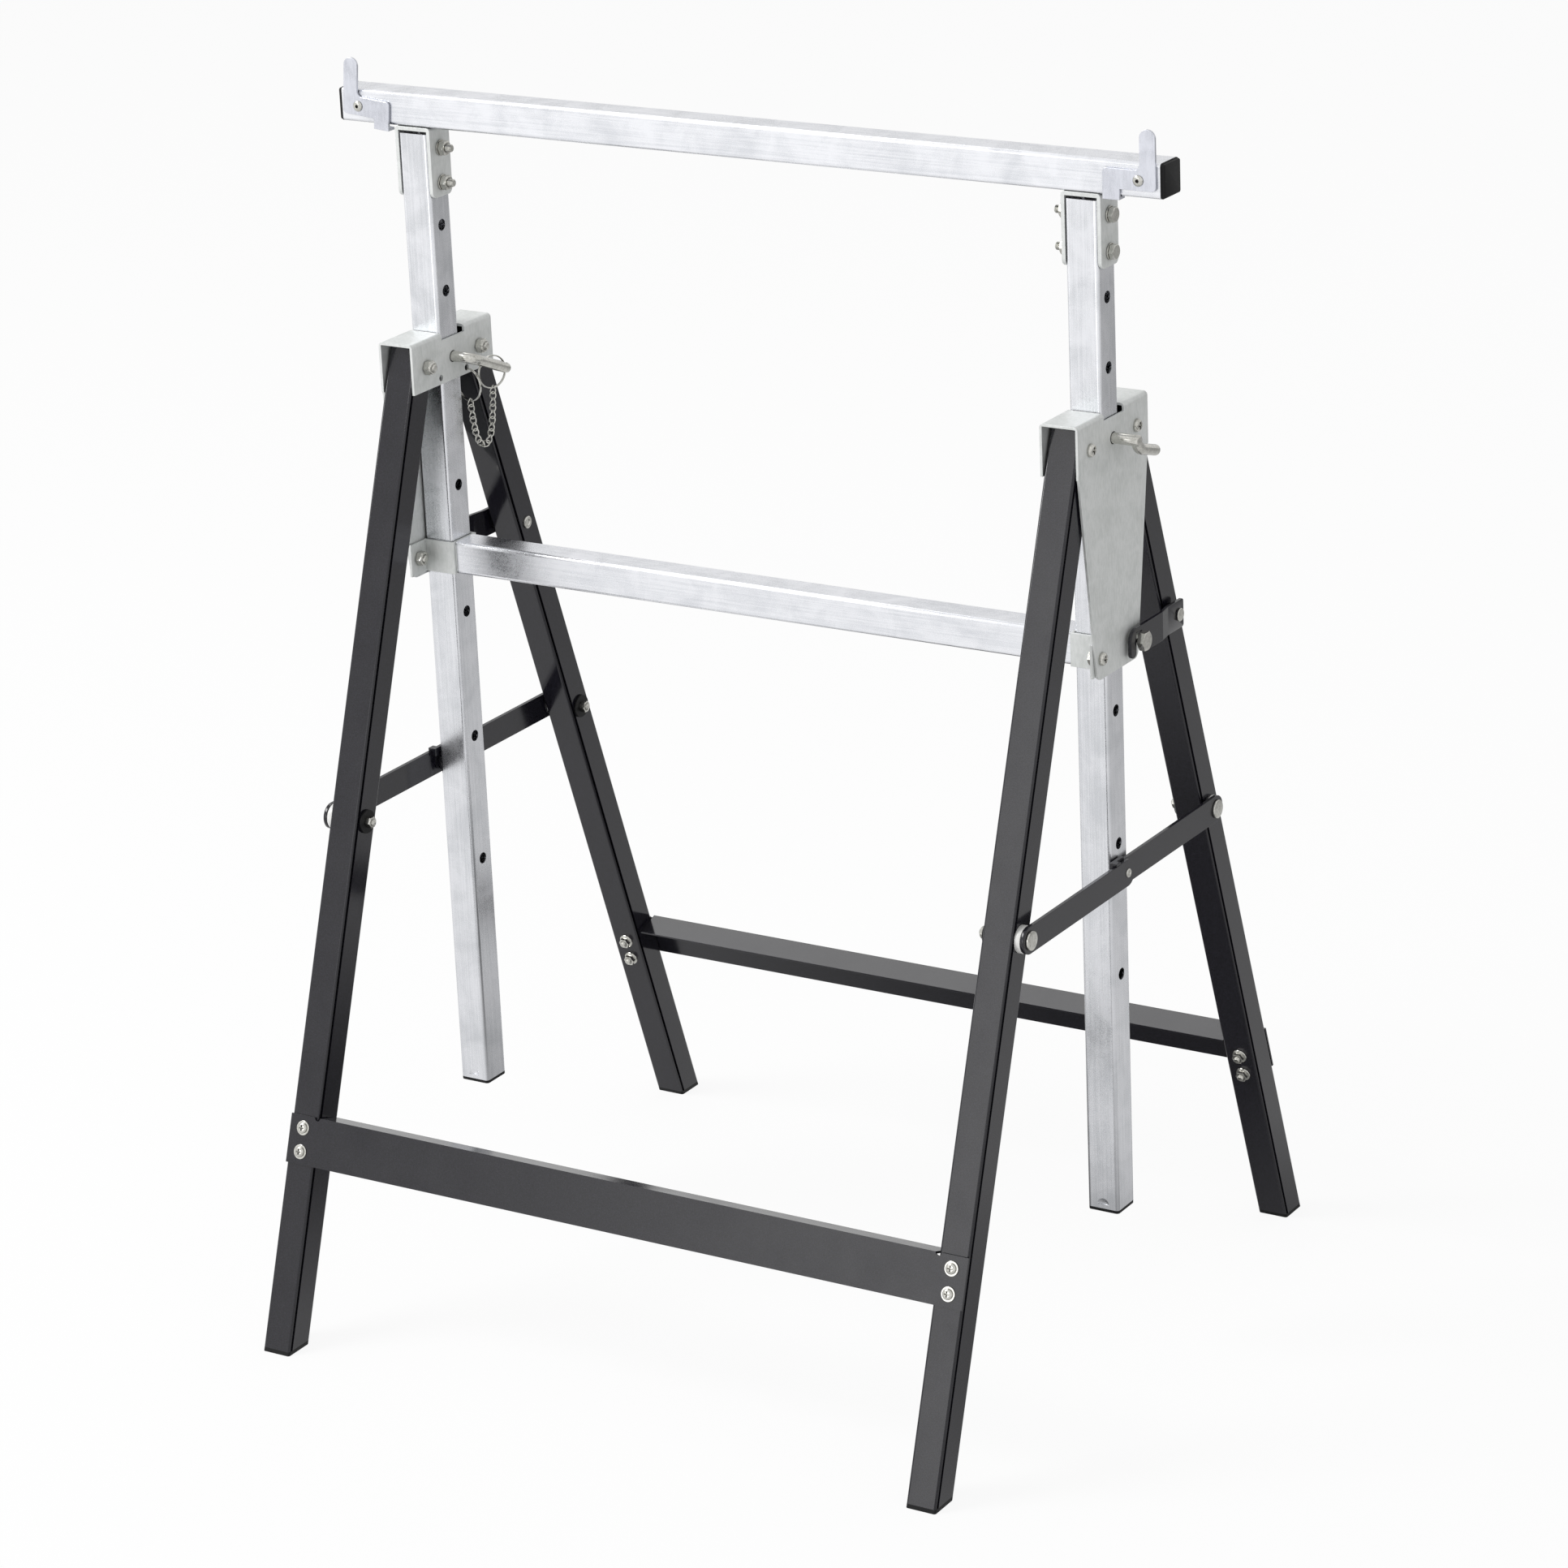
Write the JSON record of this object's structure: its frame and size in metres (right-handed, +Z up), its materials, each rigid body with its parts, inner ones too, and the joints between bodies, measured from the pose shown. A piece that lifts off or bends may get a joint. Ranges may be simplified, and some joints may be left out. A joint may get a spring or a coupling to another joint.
{
  "type": "builders trestle",
  "caption": "Folding builders trestle: a square-tube beam on pinned columns slides for height between splayed legs with struts, hooks, pins and flip-up end stops.",
  "frame": {"origin": "on the floor below the middle of the beam", "axes": "+X along the beam, +Y from the front legs to the rear legs, +Z up"},
  "size_m": [0.685, 0.5754, 0.9235],
  "materials": {
    "zinc_sheet": "zinc-plated, satin",
    "zinc_fastener": "bright zinc",
    "powder_coat": "fine-textured semi-gloss powder coat on steel",
    "black_plastic": "moulded, matt",
    "white_nylon": "moulded nylon"
  },
  "bodies": {
    "head_frame": {"bracket_left": "zinc_sheet", "bracket_right": "zinc_sheet", "collar_left": "zinc_sheet", "collar_right": "zinc_sheet", "cross_rail": "zinc_sheet", "leg_pivot_bolts": "zinc_fastener", "leg_pivot_nuts": "zinc_fastener", "collar_screws": "zinc_fastener", "collar_nuts": "zinc_fastener", "hook_studs": "zinc_fastener", "pin_chain": "zinc_fastener"},
    "carriage": {"top_beam": "zinc_sheet", "beam_end_caps": "black_plastic", "saddle_left": "zinc_sheet", "saddle_right": "zinc_sheet", "column_left": "zinc_sheet", "column_right": "zinc_sheet", "column_plugs": "black_plastic", "saddle_bolts": "zinc_fastener", "saddle_washers": "zinc_fastener", "saddle_nuts": "zinc_fastener", "stop_rivets": "zinc_fastener"},
    "left_stop": {"stop_left": "zinc_sheet"},
    "right_stop": {"stop_right": "zinc_sheet"},
    "front_frame": {"leg_front_left": "powder_coat", "leg_front_right": "powder_coat", "front_foot_plugs": "black_plastic", "front_rail": "powder_coat", "front_rail_screws": "zinc_fastener", "front_rail_nuts": "zinc_fastener", "front_strut_bolts": "zinc_fastener", "front_strut_spacers": "white_nylon", "front_strut_washers": "black_plastic", "front_strut_nuts": "zinc_fastener"},
    "rear_frame": {"leg_rear_left": "powder_coat", "leg_rear_right": "powder_coat", "rear_foot_plugs": "black_plastic", "rear_rail": "powder_coat", "rear_rail_screws": "zinc_fastener", "rear_rail_nuts": "zinc_fastener", "rear_strut_bolts": "zinc_fastener", "rear_strut_spacers": "white_nylon", "rear_strut_washers": "black_plastic", "rear_strut_nuts": "zinc_fastener", "hook_rivets": "zinc_fastener", "hook_spacers": "black_plastic"},
    "front_left_link": {"strut_front_left": "powder_coat", "strut_rivet_front_left": "zinc_fastener"},
    "front_right_link": {"strut_front_right": "powder_coat", "strut_rivet_front_right": "zinc_fastener"},
    "rear_left_link": {"strut_rear_left": "powder_coat", "strut_rivet_rear_left": "zinc_fastener"},
    "rear_right_link": {"strut_rear_right": "powder_coat", "strut_rivet_rear_right": "zinc_fastener"},
    "left_hook": {"hook_left": "powder_coat"},
    "right_hook": {"hook_right": "powder_coat"},
    "left_pin": {"pin_left": "zinc_fastener", "pin_ring": "zinc_fastener"},
    "right_pin": {"pin_right": "zinc_fastener"}
  },
  "joints": [
    {"name": "height_slide", "type": "slide", "parent": "head_frame", "child": "carriage", "axis": [0, 0, 1], "range_m": [-0.1, 0.4]},
    {"name": "left_stop_turn", "type": "hinge", "parent": "carriage", "child": "left_stop", "pos_m": [-0.3238, -0.0137, 0.8875], "axis": [0, 1, 0], "range_deg": [-5, 85]},
    {"name": "right_stop_turn", "type": "hinge", "parent": "carriage", "child": "right_stop", "pos_m": [0.3238, -0.0137, 0.8875], "axis": [0, -1, 0], "range_deg": [0, 90]},
    {"name": "front_fold", "type": "hinge", "parent": "head_frame", "child": "front_frame", "pos_m": [0, -0.034, 0.7], "axis": [1, 0, 0], "range_deg": [0, 13]},
    {"name": "rear_fold", "type": "hinge", "parent": "head_frame", "child": "rear_frame", "pos_m": [0, 0.034, 0.7], "axis": [1, 0, 0], "range_deg": [-13, 0]},
    {"name": "front_left_link_turn", "type": "hinge", "parent": "front_frame", "child": "front_left_link", "pos_m": [0, -0.14469, 0.37852], "axis": [1, 0, 0], "range_deg": [0, 48.29]},
    {"name": "rear_left_link_turn", "type": "hinge", "parent": "rear_frame", "child": "rear_left_link", "pos_m": [0, 0.14469, 0.37852], "axis": [1, 0, 0], "range_deg": [-48.29, 0]},
    {"name": "left_hook_turn", "type": "hinge", "parent": "rear_frame", "child": "left_hook", "pos_m": [0, 0.08703, 0.546], "axis": [1, 0, 0], "range_deg": [-78, 0]},
    {"name": "front_right_link_turn", "type": "hinge", "parent": "front_frame", "child": "front_right_link", "pos_m": [0, -0.14469, 0.37852], "axis": [1, 0, 0], "range_deg": [0, 48.29]},
    {"name": "rear_right_link_turn", "type": "hinge", "parent": "rear_frame", "child": "rear_right_link", "pos_m": [0, 0.14469, 0.37852], "axis": [1, 0, 0], "range_deg": [-48.29, 0]},
    {"name": "right_hook_turn", "type": "hinge", "parent": "rear_frame", "child": "right_hook", "pos_m": [0, 0.08703, 0.546], "axis": [1, 0, 0], "range_deg": [-78, 0]},
    {"name": "left_pin_slide", "type": "slide", "parent": "head_frame", "child": "left_pin", "axis": [1, 0, 0], "range_m": [-0.0075, 0.015], "deforming": ["pin_chain"]},
    {"name": "right_pin_slide", "type": "slide", "parent": "head_frame", "child": "right_pin", "axis": [1, 0, 0], "range_m": [-0.0115, 0.015]}
  ],
  "couplings": [
    {"joint": "rear_fold", "follows": "front_fold", "ratio": -1},
    {"joint": "front_left_link_turn", "follows": "front_fold", "ratio": 3.7135},
    {"joint": "rear_left_link_turn", "follows": "front_fold", "ratio": -3.7135},
    {"joint": "left_hook_turn", "follows": "front_fold", "ratio": -6},
    {"joint": "front_right_link_turn", "follows": "front_fold", "ratio": 3.7135},
    {"joint": "rear_right_link_turn", "follows": "front_fold", "ratio": -3.7135},
    {"joint": "right_hook_turn", "follows": "front_fold", "ratio": -6}
  ]
}
